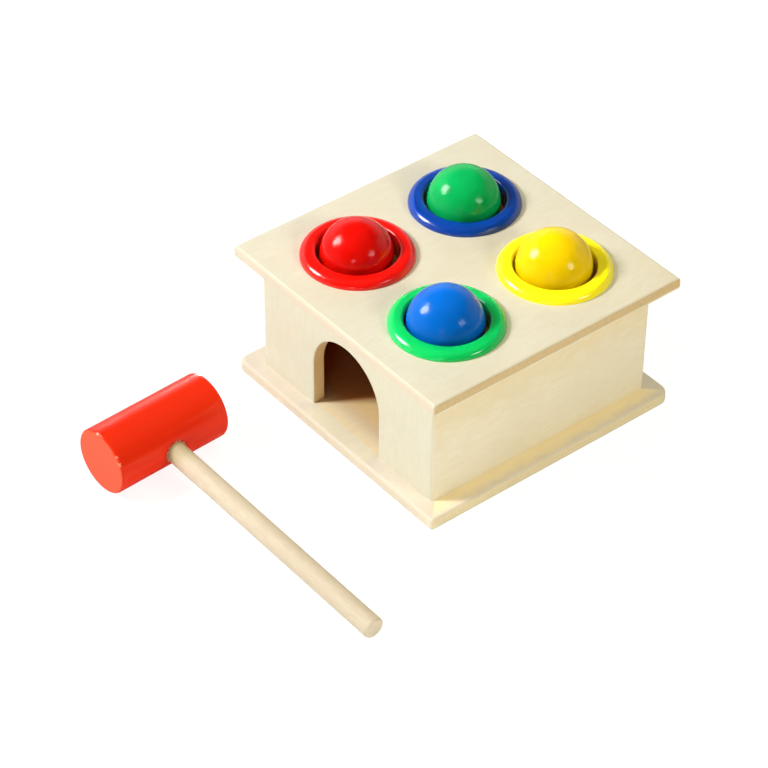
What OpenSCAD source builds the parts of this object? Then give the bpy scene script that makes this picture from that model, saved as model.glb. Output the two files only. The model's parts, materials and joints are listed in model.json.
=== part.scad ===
// Ball pounding toy. A square wooden box has four ringed holes in its top board, with a ball
// held in each by a soft grip. A struck ball drops inside and rolls out of the arched doorway.
// The loose hammer lies on the floor in front of the doorway.
// +Z is up and the doorway faces -Y. The origin is the middle of the base board's underside.

/* [Box] */
// Side of the square top and base boards
board_side = 135; // [132:0.5:150]
// Thickness of the top and base boards
board_t = 6; // [5:0.5:8]
// Rounding along the edges of the boards
board_ease = 1.5; // [0.5:0.1:2.2]
// Rounding of the boards' corners, seen from above
board_corner = 2.2; // [1:0.1:4]
// Outside width of the four walls, from side to side
wall_w = 116.5; // [116:0.5:120]
// Outside depth of the four walls, from front to back
wall_d = 119.5; // [116:0.5:121]
// Thickness of the walls
wall_t = 6; // [5:0.5:6]
// Height of the walls between the two boards
wall_h = 56.5; // [54:0.5:70]
// Rounding of the upright corners of the walls
wall_corner = 2; // [0.5:0.1:3]

/* [Doorway] */
// Width of the arched doorway
door_w = 44.6; // [38:0.2:50]
// Height of the doorway above the base board
door_h = 44.5; // [36:0.5:50]

/* [Rings] */
// Distance between the centres of neighbouring holes
hole_pitch = 59.5; // [56:0.5:60]
// Outside diameter of a ring's bead
ring_od = 50; // [48:0.5:54]
// Diameter of a ring's throat
ring_throat = 36; // [35.4:0.1:37]
// Height of the bead above the top board, and the rounding of its outer edge
bead_h = 3.5; // [2.5:0.1:3.5]
// Rounding of the bead's inner edge
bead_lip = 1.4; // [0.4:0.1:1.6]
// Wall of the sleeve that passes through the top board
sleeve_t = 2; // [1.5:0.1:2.2]
// Inner diameter of the soft grip that holds a ball
grip_id = 30.6; // [29.6:0.1:31.4]
// Thickness of the grip
grip_t = 2; // [1.5:0.1:3]

/* [Balls] */
// Diameter of a ball
ball_d = 33; // [32:0.1:33.6]
// Height of a resting ball's centre above the top board
ball_rise = 0.7; // [0:0.1:1.2]

/* [Hammer] */
// Diameter of the head
head_d = 30; // [26:0.5:34]
// Length of the head
head_l = 57; // [48:0.5:66]
// Rounding of the head's rims
head_ease = 1.2; // [0.4:0.1:3]
// Diameter of the handle
handle_d = 9.6; // [8:0.1:12]
// Reach of the handle from the axis of the head to its end
handle_reach = 142; // [110:1:180]
// Depth of the handle's socket, from the side of the head
socket_depth = 24; // [16:0.5:25]
// Place of the head's middle across the box
hammer_x = -40.6; // [-60:0.1:0]
// Place of the head's middle in front of the box
hammer_y = -130.8; // [-160:0.1:-110]
// Turn of the handle from the X axis, in degrees
hammer_turn = 2.6; // [-10:0.1:10]

/* [Fastenings] */
// Diameter of the dowel pins between the walls and the top board
dowel_d = 3; // [2:0.1:3.4]
// Length of a dowel pin
dowel_l = 12; // [8:0.5:16]
// Diameter of the screws that hold the base board
screw_d = 3; // [2.5:0.1:3.4]
// Length of a screw
screw_l = 17; // [12:0.5:20]
// Diameter of a screw's countersunk head
screw_head_d = 6; // [5:0.1:7]

/* [Hidden] */
$fn = 96;
// Gap between two pieces that are fitted together
fit_gap = 0.05;
// Gap between a resting ball and its grip
seat_gap = 0.15;
// Length added to a cut, so that it passes the faces that it opens
over = 1;

top_z = board_t + wall_h + board_t;
wall_top = board_t + wall_h;
// Distances from the middle of the box to the middle of a side wall and of the front or back wall
side_mid = wall_w / 2 - wall_t / 2;
front_mid = wall_d / 2 - wall_t / 2;
side_wall_l = wall_d - 2 * wall_t;
hole_at = hole_pitch / 2;

door_r = door_w / 2;
door_spring = board_t + door_h - door_r;

throat_r = ring_throat / 2;
sleeve_r = throat_r + sleeve_t;
// Radius at which the bead's flat top meets the rounding of its outer edge
bead_edge = ring_od / 2 - bead_h;
// Radius at which the flat top meets the rounding of its inner edge
bead_rim = throat_r + bead_lip;

ball_r = ball_d / 2;
grip_r = grip_id / 2;
// Heights in a ring are measured from the top face of the top board
grip_top = ball_rise - sqrt(pow(ball_r + seat_gap, 2) - grip_r * grip_r);
grip_bottom = grip_top - grip_t;
// Room around a ball that passes the ledge under its grip
ledge_room = 0.4;
ledge_r = ball_r + ledge_room;
ledge_t = 0.9;
ledge_top = grip_bottom - fit_gap;
sleeve_bottom = ledge_top - ledge_t;
barb_top = -board_t - fit_gap;
barb_out = 0.7;

head_r = head_d / 2;
handle_r = handle_d / 2;
handle_ease = 1;
socket_end = head_r - socket_depth;
// Room between the handle's hidden end and the bottom of its socket
socket_room = 0.2;
handle_start = socket_end + socket_room;
// The head rests on the floor and the handle leans down until its end touches too
hammer_tilt = asin(head_r / norm([handle_reach, handle_r])) - atan(handle_r / handle_reach);

dowel_in_top = 4;
dowel_z = wall_top + dowel_in_top - dowel_l;
dowel_ease = 0.4;
// Places of the two dowel pins and of the two screws, along a wall from its middle
dowel_at = 40;
screw_at = 34;
screw_head_t = (screw_head_d - screw_d) / 2;
screw_tip_l = 3;
// Depth of a screw head's face below the underside of the base board
screw_sunk = 0.3;
slot_w = 0.9;
slot_l = 3.4;
slot_deep = 1.1;

cream_wood = "#F0E6C8";
shaded_wood = "#E5D8B5";
dowel_wood = "#F0E0BE";
paint_red = "#CC1408";
paint_green = "#0FA54A";
paint_yellow = "#E6BE00";
paint_blue = "#0A5FBE";
ring_red_tone = "#E01A10";
ring_blue_tone = "#0A3C96";
ring_yellow_tone = "#FFE81E";
ring_green_tone = "#12B455";
hammer_red = "#EE3015";
grip_rubber = "#C07642";
screw_steel = "#B8BABC";

// Hole centres, named by side and by front or back
left_front = [-hole_at, -hole_at, top_z];
left_back = [-hole_at, hole_at, top_z];
right_back = [hole_at, hole_at, top_z];
right_front = [hole_at, -hole_at, top_z];

// Flat rectangle with rounded corners
module rounded_rect(w, h, r) {
    square([w - 2 * r, h], center = true);
    square([w, h - 2 * r], center = true);
    for (sx = [-1, 1], sy = [-1, 1])
        translate([sx * (w / 2 - r), sy * (h / 2 - r)])
            circle(r);
}

// Square board with rounded edges and corners, its underside at z = 0
module eased_board() {
    translate([0, 0, board_t / 2])
        intersection() {
            rotate([90, 0, 0])
                linear_extrude(board_side, center = true)
                    rounded_rect(board_side, board_t, board_ease);
            rotate([90, 0, 90])
                linear_extrude(board_side, center = true)
                    rounded_rect(board_side, board_t, board_ease);
            linear_extrude(board_t, center = true)
                rounded_rect(board_side, board_side, board_corner);
        }
}

// Round rod with rounded rims, along +Z from z = 0
module eased_rod(r, l, ease) {
    rotate_extrude() {
        square([r - ease, l]);
        translate([0, ease])
            square([r, l - 2 * ease]);
        for (z = [ease, l - ease])
            translate([r - ease, z])
                circle(ease);
    }
}

// Places that a dowel pin takes: two along each wall
module each_dowel() {
    for (along = [-dowel_at, dowel_at], end = [-1, 1]) {
        translate([along, end * front_mid, dowel_z])
            children();
        translate([end * side_mid, along, dowel_z])
            children();
    }
}

// Places that a screw takes: two along each side wall, pointing up
module each_screw() {
    for (x = [-side_mid, side_mid], y = [-screw_at, screw_at])
        translate([x, y, screw_sunk])
            children();
}

module dowel_holes() {
    each_dowel()
        translate([0, 0, -fit_gap])
            cylinder(r = dowel_d / 2 + fit_gap, h = dowel_l + 2 * fit_gap);
}

// Countersunk screw with its face at z = 0, grown by a gap where it cuts its own hole
module screw_body(gap) {
    r = screw_d / 2 + gap;
    rotate_extrude()
        polygon([
            [0, 0], [screw_head_d / 2 + gap, 0], [r, screw_head_t],
            [r, screw_l - screw_tip_l], [0, screw_l + gap]
        ]);
}

module screw_holes() {
    each_screw() {
        screw_body(fit_gap);
        translate([0, 0, -over])
            cylinder(r = screw_head_d / 2 + fit_gap, h = over + fit_gap);
    }
}

module base_board() {
    color(cream_wood)
        difference() {
            eased_board();
            screw_holes();
        }
}

module top_board() {
    color(cream_wood)
        difference() {
            translate([0, 0, wall_top])
                eased_board();
            for (hole = [left_front, left_back, right_back, right_front])
                translate(hole - [0, 0, board_t + over])
                    cylinder(r = sleeve_r + fit_gap, h = board_t + 2 * over);
            dowel_holes();
        }
}

// Wall across the whole width, with rounded upright corners on its outer face
module wide_wall() {
    translate([0, 0, board_t])
        linear_extrude(wall_h) {
            translate([-wall_w / 2, -wall_d / 2 + wall_corner])
                square([wall_w, wall_t - wall_corner]);
            translate([-wall_w / 2 + wall_corner, -wall_d / 2])
                square([wall_w - 2 * wall_corner, wall_corner]);
            for (sx = [-1, 1])
                translate([sx * (wall_w / 2 - wall_corner), -wall_d / 2 + wall_corner])
                    circle(wall_corner);
        }
}

module front_wall() {
    color(cream_wood)
        difference() {
            wide_wall();
            translate([-door_r, -wall_d / 2 - over, board_t - over])
                cube([door_w, wall_t + 2 * over, door_spring - board_t + over]);
            translate([0, -wall_d / 2 - over, door_spring])
                rotate([-90, 0, 0])
                    cylinder(r = door_r, h = wall_t + 2 * over);
            dowel_holes();
        }
}

module back_wall() {
    color(cream_wood)
        difference() {
            rotate([0, 0, 180])
                wide_wall();
            dowel_holes();
        }
}

// Wall between the front and back walls, on the side that x is on
module side_wall(x) {
    color(shaded_wood)
        difference() {
            translate([x - wall_t / 2, -side_wall_l / 2, board_t])
                cube([wall_t, side_wall_l, wall_h]);
            dowel_holes();
            screw_holes();
        }
}

module left_wall() {
    side_wall(-side_mid);
}

module right_wall() {
    side_wall(side_mid);
}

module top_dowels() {
    color(dowel_wood)
        each_dowel()
            eased_rod(dowel_d / 2, dowel_l, dowel_ease);
}

module base_screws() {
    color(screw_steel)
        each_screw()
            difference() {
                screw_body(0);
                for (turn = [0, 90])
                    rotate([0, 0, turn])
                        translate([-slot_l / 2, -slot_w / 2, -over])
                            cube([slot_l, slot_w, slot_deep + over]);
            }
}

// Half section of a ring: flat-topped bead on the board, sleeve through it, barb and ledge below it
module ring_section() {
    intersection() {
        translate([bead_edge, 0])
            circle(bead_h);
        translate([bead_rim, 0])
            square([ring_od / 2 - bead_rim, bead_h]);
    }
    translate([bead_rim, bead_h - bead_lip])
        circle(bead_lip);
    polygon([
        [ledge_r, sleeve_bottom], [sleeve_r, sleeve_bottom],
        [sleeve_r + barb_out, barb_top], [sleeve_r, barb_top],
        [sleeve_r, 0], [bead_edge, 0], [bead_edge, bead_h],
        [bead_rim, bead_h], [bead_rim, bead_h - bead_lip], [throat_r, bead_h - bead_lip],
        [throat_r, ledge_top], [ledge_r, ledge_top]
    ]);
}

module ring(place, tone) {
    color(tone)
        translate(place)
            rotate_extrude()
                ring_section();
}

module ring_red() {
    ring(left_front, ring_red_tone);
}

module ring_blue() {
    ring(left_back, ring_blue_tone);
}

module ring_yellow() {
    ring(right_back, ring_yellow_tone);
}

module ring_green() {
    ring(right_front, ring_green_tone);
}

// Soft rubber washer inside a ring's sleeve, narrower than the ball
module grip(place) {
    color(grip_rubber)
        translate(place)
            rotate_extrude()
                translate([grip_r, grip_bottom])
                    square([throat_r - fit_gap - grip_r, grip_t]);
}

module grip_left_front() {
    grip(left_front);
}

module grip_left_back() {
    grip(left_back);
}

module grip_right_back() {
    grip(right_back);
}

module grip_right_front() {
    grip(right_front);
}

module ball(place, tone) {
    color(tone)
        translate(place + [0, 0, ball_rise])
            sphere(ball_r);
}

module ball_red() {
    ball(left_front, paint_red);
}

module ball_green() {
    ball(left_back, paint_green);
}

module ball_yellow() {
    ball(right_back, paint_yellow);
}

module ball_blue() {
    ball(right_front, paint_blue);
}

// The hammer's own frame: origin in the middle of the head, handle along +X
module hammer_frame() {
    translate([hammer_x, hammer_y, head_r])
        rotate([0, hammer_tilt, hammer_turn])
            children();
}

module hammer_head() {
    color(hammer_red)
        hammer_frame()
            difference() {
                translate([0, head_l / 2, 0])
                    rotate([90, 0, 0])
                        eased_rod(head_r, head_l, head_ease);
                translate([socket_end, 0, 0])
                    rotate([0, 90, 0])
                        cylinder(r = handle_r + fit_gap, h = socket_depth + over);
            }
}

module hammer_handle() {
    color(dowel_wood)
        hammer_frame()
            translate([handle_start, 0, 0])
                rotate([0, 90, 0])
                    eased_rod(handle_r, handle_reach - handle_start, handle_ease);
}

base_board();
front_wall();
back_wall();
left_wall();
right_wall();
top_board();
top_dowels();
base_screws();
ring_red();
ring_blue();
ring_yellow();
ring_green();
grip_left_front();
grip_left_back();
grip_right_back();
grip_right_front();
ball_red();
ball_green();
ball_yellow();
ball_blue();
hammer_head();
hammer_handle();
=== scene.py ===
import json
import math
from functools import partial

import bmesh
import bpy
from mathutils import Matrix, Vector, noise

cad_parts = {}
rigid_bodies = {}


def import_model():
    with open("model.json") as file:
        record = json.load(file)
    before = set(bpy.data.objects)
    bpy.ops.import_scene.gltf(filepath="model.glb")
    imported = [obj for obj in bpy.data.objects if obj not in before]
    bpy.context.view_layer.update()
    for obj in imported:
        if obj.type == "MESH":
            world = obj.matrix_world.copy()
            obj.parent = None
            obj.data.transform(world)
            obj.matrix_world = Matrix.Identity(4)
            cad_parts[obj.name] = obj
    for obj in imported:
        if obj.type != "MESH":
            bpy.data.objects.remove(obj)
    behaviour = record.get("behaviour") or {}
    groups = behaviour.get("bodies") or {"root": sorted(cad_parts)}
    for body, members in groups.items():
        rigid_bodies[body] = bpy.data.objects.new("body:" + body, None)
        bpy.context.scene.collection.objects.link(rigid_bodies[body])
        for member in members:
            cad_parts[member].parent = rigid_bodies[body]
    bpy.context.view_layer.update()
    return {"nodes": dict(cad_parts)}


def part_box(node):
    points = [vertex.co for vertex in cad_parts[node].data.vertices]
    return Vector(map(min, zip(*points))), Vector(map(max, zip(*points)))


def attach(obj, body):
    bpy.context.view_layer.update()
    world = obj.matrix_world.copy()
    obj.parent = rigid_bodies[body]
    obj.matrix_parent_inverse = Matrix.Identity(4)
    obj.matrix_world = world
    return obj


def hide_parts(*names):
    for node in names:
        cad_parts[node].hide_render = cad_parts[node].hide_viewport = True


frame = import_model()
scene = bpy.context.scene
scene.view_settings.view_transform = "Standard"
mm = 0.001
print("frame loaded:", len(frame["nodes"]), "solids")


# Direction of the camera or a lamp: azimuth 0 is in front of the doorway, 90 to its right
def fromAngles(azimuth, elevation):
    azimuth, elevation = math.radians(azimuth), math.radians(elevation)
    return Vector((math.sin(azimuth) * math.cos(elevation),
                   -math.cos(azimuth) * math.cos(elevation), math.sin(elevation)))


# Camera, at the photograph's viewing angle
photoView = {
    "place": (0.75795, -0.6535, 0.8495), "azimuth": 50.96, "elevation": 40.34, "roll": 0.49,
    "lens": 139.9, "sensor": 36.0,
}


def makeCamera(spec):
    azimuth = math.radians(spec["azimuth"])
    back = fromAngles(spec["azimuth"], spec["elevation"])
    right = Vector((math.cos(azimuth), math.sin(azimuth), 0))
    roll = Matrix.Rotation(math.radians(spec["roll"]), 3, "Z")
    turn = Matrix((right, back.cross(right), back)).transposed() @ roll
    data = bpy.data.cameras.new("photoCamera")
    data.lens = spec["lens"]
    data.sensor_width = spec["sensor"]
    camera = bpy.data.objects.new("photoCamera", data)
    camera.matrix_world = Matrix.Translation(spec["place"]) @ turn.to_4x4()
    scene.collection.objects.link(camera)
    scene.camera = camera


makeCamera(photoView)
print("camera set")


# Node helpers: each input of a node is a constant or a link
def feed(node, inputs):
    for key, value in inputs.items():
        socket = node.inputs[key]
        if isinstance(value, bpy.types.NodeSocket):
            node.id_data.links.new(value, socket)
        elif socket.type == "RGBA":
            socket.default_value = (*value, 1.0)
        else:
            socket.default_value = value


# Adds a node and returns its outputs
def put(tree, kind, inputs=None, **settings):
    node = tree.nodes.new(kind)
    for key, value in settings.items():
        setattr(node, key, value)
    feed(node, inputs or {})
    return node.outputs


def calc(operation, first, second=0.0, third=0.0):
    link = first if isinstance(first, bpy.types.NodeSocket) else second
    return put(link.id_data, "ShaderNodeMath", {0: first, 1: second, 2: third}, operation=operation)[0]


times = partial(calc, "MULTIPLY")
plus = partial(calc, "ADD")
minus = partial(calc, "SUBTRACT")
largest = partial(calc, "MAXIMUM")
absolute = partial(calc, "ABSOLUTE")


def stretch(vector, factors):
    return put(vector.id_data, "ShaderNodeVectorMath", {0: vector, 1: factors}, operation="MULTIPLY")[0]


def measure(operation, first, second=(0, 0, 0)):
    return put(first.id_data, "ShaderNodeVectorMath", {0: first, 1: second}, operation=operation)["Value"]


def remap(value, low, high, toLow=0.0, toHigh=1.0, kind="SMOOTHSTEP"):
    return put(value.id_data, "ShaderNodeMapRange", {0: value, 1: low, 2: high, 3: toLow, 4: toHigh},
               interpolation_type=kind)[0]


def mixColour(share, first, second, mode="MIX"):
    return put(share.id_data, "ShaderNodeMix", {0: share, 6: first, 7: second},
               data_type="RGBA", blend_type=mode)[2]


def cloud(vector, scale, detail=2.0, rough=0.5, seed=0.0):
    return put(vector.id_data, "ShaderNodeTexNoise",
               {"Vector": vector, "W": seed, "Scale": scale, "Detail": detail, "Roughness": rough},
               noise_dimensions="4D")[0]


def bumped(height, distance, strength):
    return put(height.id_data, "ShaderNodeBump",
               {"Strength": strength, "Distance": distance, "Height": height})[0]


# Shader groups: a vector and numbers go in, numbers that vary over the surface come out
def newGroup(name, inputs, outputs):
    group = bpy.data.node_groups.new(name, "ShaderNodeTree")
    group.interface.new_socket("Vector", in_out="INPUT", socket_type="NodeSocketVector")
    for label in inputs:
        group.interface.new_socket(label, in_out="INPUT", socket_type="NodeSocketFloat")
    for label in outputs:
        group.interface.new_socket(label, in_out="OUTPUT", socket_type="NodeSocketFloat")
    return group, group.nodes.new("NodeGroupInput").outputs


# Places a group; its input "Fibre Scale" takes the piece's value "fibreScale", and so on
def useGroup(group, where, spec):
    inputs = {"Vector": where}
    for item in group.interface.items_tree:
        if item.in_out == "INPUT" and item.name != "Vector":
            inputs[item.name] = spec[item.name[0].lower() + item.name[1:].replace(" ", "")]
    return put(where.id_data, "ShaderNodeGroup", inputs, node_tree=group)


# Wood fibres along X of the piece's own grain coordinates, with pores and slow figure
def makeWoodGrain():
    group, given = newGroup("woodGrain", ("Fibre Scale", "Figure Scale", "Seed"),
                            ("Fibre", "Pore", "Figure", "Patch", "Mottle", "Height"))
    vector, seed = given["Vector"], given["Seed"]
    fine, slow = given["Fibre Scale"], given["Figure Scale"]
    fibre = cloud(stretch(vector, (0.045, 1, 1)), fine, 4, 0.62, seed)
    pore = remap(cloud(stretch(vector, (0.12, 1, 1)), times(fine, 1.6), 2, 0.5, seed), 0.6, 0.74)
    bend = cloud(stretch(vector, (0.3, 1, 1)), slow, 3, 0.5, seed)
    figure = calc("MULTIPLY_ADD", calc("SINE", times(bend, 40.0)), 0.5, 0.5)
    patch = cloud(stretch(vector, (0.5, 1, 1)), times(slow, 1.7), 4, 0.6, seed)
    mottle = cloud(stretch(vector, (0.4, 1, 1)), times(fine, 0.22), 4, 0.65, seed)
    put(group, "NodeGroupOutput", {"Fibre": fibre, "Pore": pore, "Figure": figure, "Patch": patch,
                                   "Mottle": mottle, "Height": minus(fibre, times(pore, 0.7))})
    return group


# Plies of a board, and painted shade and painted light on its inner face and ledge: Z of the grain
# coordinates runs up from the underside
def makePlyEdge():
    group, given = newGroup(
        "plyEdge", ("Lower Ply", "Upper Ply", "Glue Line", "Walls Along", "Walls Across", "Sill",
                    "Door Half", "Inside Z"),
        ("Core", "End Grain", "Glue", "Inside", "Deep", "Swept", "Foot"))
    along, across, up = put(group, "ShaderNodeSeparateXYZ", {0: given["Vector"]})
    wander = cloud(stretch(given["Vector"], (60, 60, 0)), 1.0, 2)
    z = plus(up, times(minus(wander, 0.5), 0.5 * mm))
    overLower, underUpper = minus(z, given["Lower Ply"]), minus(given["Upper Ply"], z)
    core = times(remap(overLower, -0.15 * mm, 0.15 * mm, kind="LINEAR"),
                 remap(underUpper, -0.3 * mm, 0.3 * mm, kind="LINEAR"))
    endGrain = remap(minus(absolute(across), absolute(along)), -0.3 * mm, 0.3 * mm, kind="LINEAR")
    nearest = calc("MINIMUM", absolute(overLower), absolute(underUpper))
    glue = calc("LESS_THAN", nearest, given["Glue Line"])

    # The inner face, inside the walls: painted shade deeper in, a painted shadow from the door's edge,
    # painted light at the door
    beyond = largest(minus(absolute(along), given["Walls Along"]),
                     minus(absolute(across), given["Walls Across"]))
    within = remap(plus(beyond, given["Sill"]), 0.6 * mm, -0.6 * mm)
    onFace = calc("LESS_THAN", absolute(minus(up, given["Inside Z"])), 0.05 * mm)
    depth = plus(along, given["Walls Along"])
    inside = times(times(within, remap(depth, 3 * mm, 16 * mm, 0.35, 1.0)), onFace)
    fromDoor = largest(minus(absolute(across), given["Door Half"]), minus(depth, given["Walls Along"]))
    fromTongue = plus(fromDoor, times(depth, 0.63))
    # Painted shadow: the inner floor past a line running in from the door's edge
    deep = times(inside, remap(fromTongue, -1.2 * mm, 1.6 * mm))
    # Painted light: lighter at the door and on the ledge in front of it
    swept = times(times(remap(fromDoor, 3 * mm, -5 * mm), onFace), remap(depth, 11 * mm, 2 * mm))

    # The ledge outside the walls: painted light, a lighter and warmer tint along the shaded right foot, and
    # a little beside the door
    outside = times(calc("GREATER_THAN", beyond, 0.0), onFace)
    jitter = remap(cloud(given["Vector"], 160.0, 4, 0.6), 0.25, 0.75, -1.5 * mm, 1.5 * mm)
    nearWall = remap(plus(beyond, jitter), 11 * mm, 2 * mm)
    beside = times(remap(fromDoor, -1 * mm, 1 * mm), 0.08)
    rightSide = times(endGrain, calc("GREATER_THAN", across, 0.0))
    foot = times(times(nearWall, largest(rightSide, beside)), outside)
    put(group, "NodeGroupOutput", {"Core": core, "End Grain": endGrain, "Glue": glue, "Inside": inside,
                                   "Deep": deep, "Swept": swept, "Foot": foot})
    return group


# Skin of paint or moulded plastic: slow tone, orange peel, dust nibs and fine scuffs
def makePaintSkin():
    group, given = newGroup("paintSkin", ("Peel Scale", "Seed"), ("Tone", "Nib", "Scuff", "Height"))
    vector, scale, seed = given["Vector"], given["Peel Scale"], given["Seed"]
    tone = cloud(vector, times(scale, 0.05), 2, 0.5, seed)
    peel = cloud(vector, scale, 2, 0.5, seed)
    nib = remap(cloud(vector, times(scale, 1.4), 1, 0.4, seed), 0.71, 0.78)
    scuff = remap(cloud(stretch(vector, (1, 0.12, 1)), times(scale, 0.8), 4, 0.7, seed), 0.5, 0.72)
    put(group, "NodeGroupOutput", {"Tone": tone, "Nib": nib, "Scuff": scuff,
                                   "Height": plus(peel, times(nib, 0.6))})
    return group


woodGrain = makeWoodGrain()
plyEdge = makePlyEdge()
paintSkin = makePaintSkin()
print("shader groups built")


def newMaterial(name):
    material = bpy.data.materials.new(name)
    material.use_nodes = True
    return material, material.node_tree, material.node_tree.nodes["Principled BSDF"]


# Bare wood: pale fibres, darker fibres, warm patches and pores
def woodTone(grain, spec):
    tone = spec["pale"]
    for share, key, colour in (
            (remap(grain["Fibre"], 0.32, 0.68), "fibreShare", "deep"),
            (grain["Figure"], "figureShare", "deep"),
            (remap(grain["Patch"], 0.42, 0.7), "patchShare", "warm"),
            (remap(grain["Mottle"], 0.36, 0.66), "mottleShare", "deep"),
            (grain["Pore"], "poreShare", "pore")):
        tone = mixColour(times(share, spec[key]), tone, spec[colour])
    return tone


# Cut edges of the plies, and the painted shade and painted light tinted onto the board's inner face and
# ledge
def plyTone(tone, where, spec):
    ply = useGroup(plyEdge, where, spec)
    edge = mixColour(ply["End Grain"], spec["coreSide"], spec["coreEnd"])
    speckle = remap(cloud(where, spec["speckleScale"], 3, 0.6), 0.35, 0.7)
    speckleShare = remap(ply["End Grain"], 0.0, 1.0, 0.15, 0.5)
    edge = mixColour(times(speckle, speckleShare), edge, spec["coreDark"])
    tone = mixColour(ply["Core"], tone, edge)
    tone = mixColour(times(ply["Glue"], spec["glueShare"]), tone, spec["coreDark"])
    # Painted shade inside the box and in the door's shadow, painted light at the door and on the shaded
    # right ledge
    for label in ("Inside", "Deep", "Swept", "Foot"):
        tone = mixColour(ply[label], tone, spec[label.lower() + "Tint"], "MULTIPLY")
    return tone


def woodMaterial(name, finish, **changes):
    spec = {**finish, **changes}
    material, tree, surface = newMaterial(name)
    where = put(tree, "ShaderNodeAttribute", attribute_name="grainCo")["Vector"]
    grain = useGroup(woodGrain, where, spec)
    tone = woodTone(grain, spec)
    if "lowerPly" in spec:
        tone = plyTone(tone, where, spec)
    # Painted shade: darker along one direction, set for each piece
    if "grimeFrom" in spec:
        uneven = remap(grain["Mottle"], 0.3, 0.7, -2.5 * mm, 2.5 * mm)
        along = plus(measure("DOT_PRODUCT", where, spec["grimeAlong"]), uneven)
        grime = remap(along, spec["grimeTo"], spec["grimeFrom"])
        tone = mixColour(grime, tone, spec["grime"], "MULTIPLY")
    feed(surface, {"Base Color": tone, "Specular IOR Level": spec["gloss"],
                   "Roughness": remap(grain["Fibre"], 0.2, 0.8, spec["roughLow"], spec["roughHigh"]),
                   "Normal": bumped(grain["Height"], spec["bumpDepth"], spec["bump"])})
    return material


boardFinish = {
    "pale": (0.80, 0.785, 0.66), "deep": (0.74, 0.685, 0.51), "warm": (0.755, 0.695, 0.52),
    "pore": (0.62, 0.47, 0.27),
    "fibreScale": 1500.0, "figureScale": 22.0, "seed": 1.0,
    "fibreShare": 0.45, "figureShare": 0.1, "patchShare": 0.5, "mottleShare": 0.4, "poreShare": 0.24,
    "roughLow": 0.5, "roughHigh": 0.66, "gloss": 0.3, "bump": 0.25, "bumpDepth": 0.12 * mm,
}
plyFinish = {
    **boardFinish,
    "coreEnd": (0.69, 0.53, 0.29), "coreSide": (0.76, 0.69, 0.53), "coreDark": (0.46, 0.32, 0.16),
    "speckleScale": 1700.0, "lowerPly": 1.7 * mm, "upperPly": 5.5 * mm, "glueLine": 0.07 * mm,
    "glueShare": 0.45, "wallsAlong": 59.75 * mm, "wallsAcross": 58.25 * mm, "sill": 0.6 * mm,
    "doorHalf": 22.3 * mm, "insideZ": 0.0,
    # Tints of painted shade and painted light for the inner face and ledge; the inner-face tint darkens the
    # top board's underside as painted shade
    "insideTint": (0.24, 0.09, 0.04), "deepTint": (1, 1, 1), "sweptTint": (1, 1, 1), "footTint": (1, 1, 1),
}
wallFinish = {**boardFinish, "pale": (0.725, 0.735, 0.59), "deep": (0.675, 0.65, 0.475), "seed": 3.0}
# Top board: painted shade darkens it towards the far right corner, away from the key lamp
topPly = woodMaterial(
    "topPly", plyFinish, grimeAlong=(0.6, 0.8, 0), grimeFrom=92.0 * mm, grimeTo=58.0 * mm,
    grime=(0.97, 0.94, 0.88))
# Base board: painted shade inside the box and in the door's shadow, painted light at the door and on the
# shaded right ledge
basePly = woodMaterial(
    "basePly", plyFinish, seed=2.0, pale=(0.785, 0.74, 0.655), deep=(0.73, 0.65, 0.515),
    warm=(0.74, 0.66, 0.525), insideZ=6.0 * mm, insideTint=(1.13, 0.90, 0.49), deepTint=(1.0, 0.61, 0.43),
    sweptTint=(1.24, 1.255, 1.09), footTint=(1.33, 1.23, 0.92), coreEnd=(0.84, 0.74, 0.50),
    coreDark=(0.68, 0.50, 0.26))
wallPly = woodMaterial("wallPly", wallFinish)
# Side walls: a warmer, lighter copy of the wall wood, painted light for the shaded sides, with painted
# shade towards their tops
sidePly = woodMaterial(
    "sidePly", wallFinish, seed=4.0, pale=(0.86, 0.80, 0.64), deep=(0.80, 0.71, 0.52),
    grimeAlong=(0, 1, 0), grimeFrom=62.0 * mm, grimeTo=30.0 * mm, grime=(0.95, 0.88, 0.74))
cutPly = woodMaterial(
    "cutPly", wallFinish, seed=5.0, pale=(0.92, 0.65, 0.29), deep=(0.78, 0.52, 0.22), fibreShare=0.8,
    poreShare=0.3)
# Inner faces of the walls: dark red-brown painted shade
innerPly = woodMaterial(
    "innerPly", wallFinish, seed=6.0, pale=(0.52, 0.125, 0.024), deep=(0.38, 0.085, 0.016),
    warm=(0.44, 0.10, 0.02), pore=(0.18, 0.05, 0.01), gloss=0.03)
# Handle: painted shade next to the hammer head
handleWood = woodMaterial(
    "handleWood", boardFinish, seed=7.0, pale=(0.68, 0.60, 0.455), deep=(0.595, 0.495, 0.345),
    fibreScale=2200.0, poreShare=0.2, grimeAlong=(1, 0, 0), grimeFrom=15.0 * mm, grimeTo=29.0 * mm,
    grime=(0.73, 0.72, 0.54))
handleEnd = woodMaterial(
    "handleEnd", boardFinish, seed=8.0, pale=(0.78, 0.70, 0.57), deep=(0.66, 0.57, 0.43), fibreShare=0.8,
    poreShare=0.35)
pinWood = woodMaterial(
    "pinWood", boardFinish, seed=9.0, pale=(0.80, 0.64, 0.42), deep=(0.68, 0.50, 0.30))


def skinMaterial(name, finish, seed, colour, shade):
    material, tree, surface = newMaterial(name)
    where = put(tree, "ShaderNodeTexCoord")["Object"]
    skin = useGroup(paintSkin, where, {**finish, "seed": seed})
    tone = mixColour(times(skin["Tone"], finish["toneShare"]), colour, shade)
    tone = mixColour(times(skin["Nib"], 0.15), tone, shade)
    feed(surface, {"Base Color": tone, "IOR": finish["ior"],
                   "Roughness": calc("MULTIPLY_ADD", skin["Scuff"], finish["scuff"], finish["rough"]),
                   "Normal": bumped(skin["Height"], finish["bumpDepth"], finish["bump"])})
    return material


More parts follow.
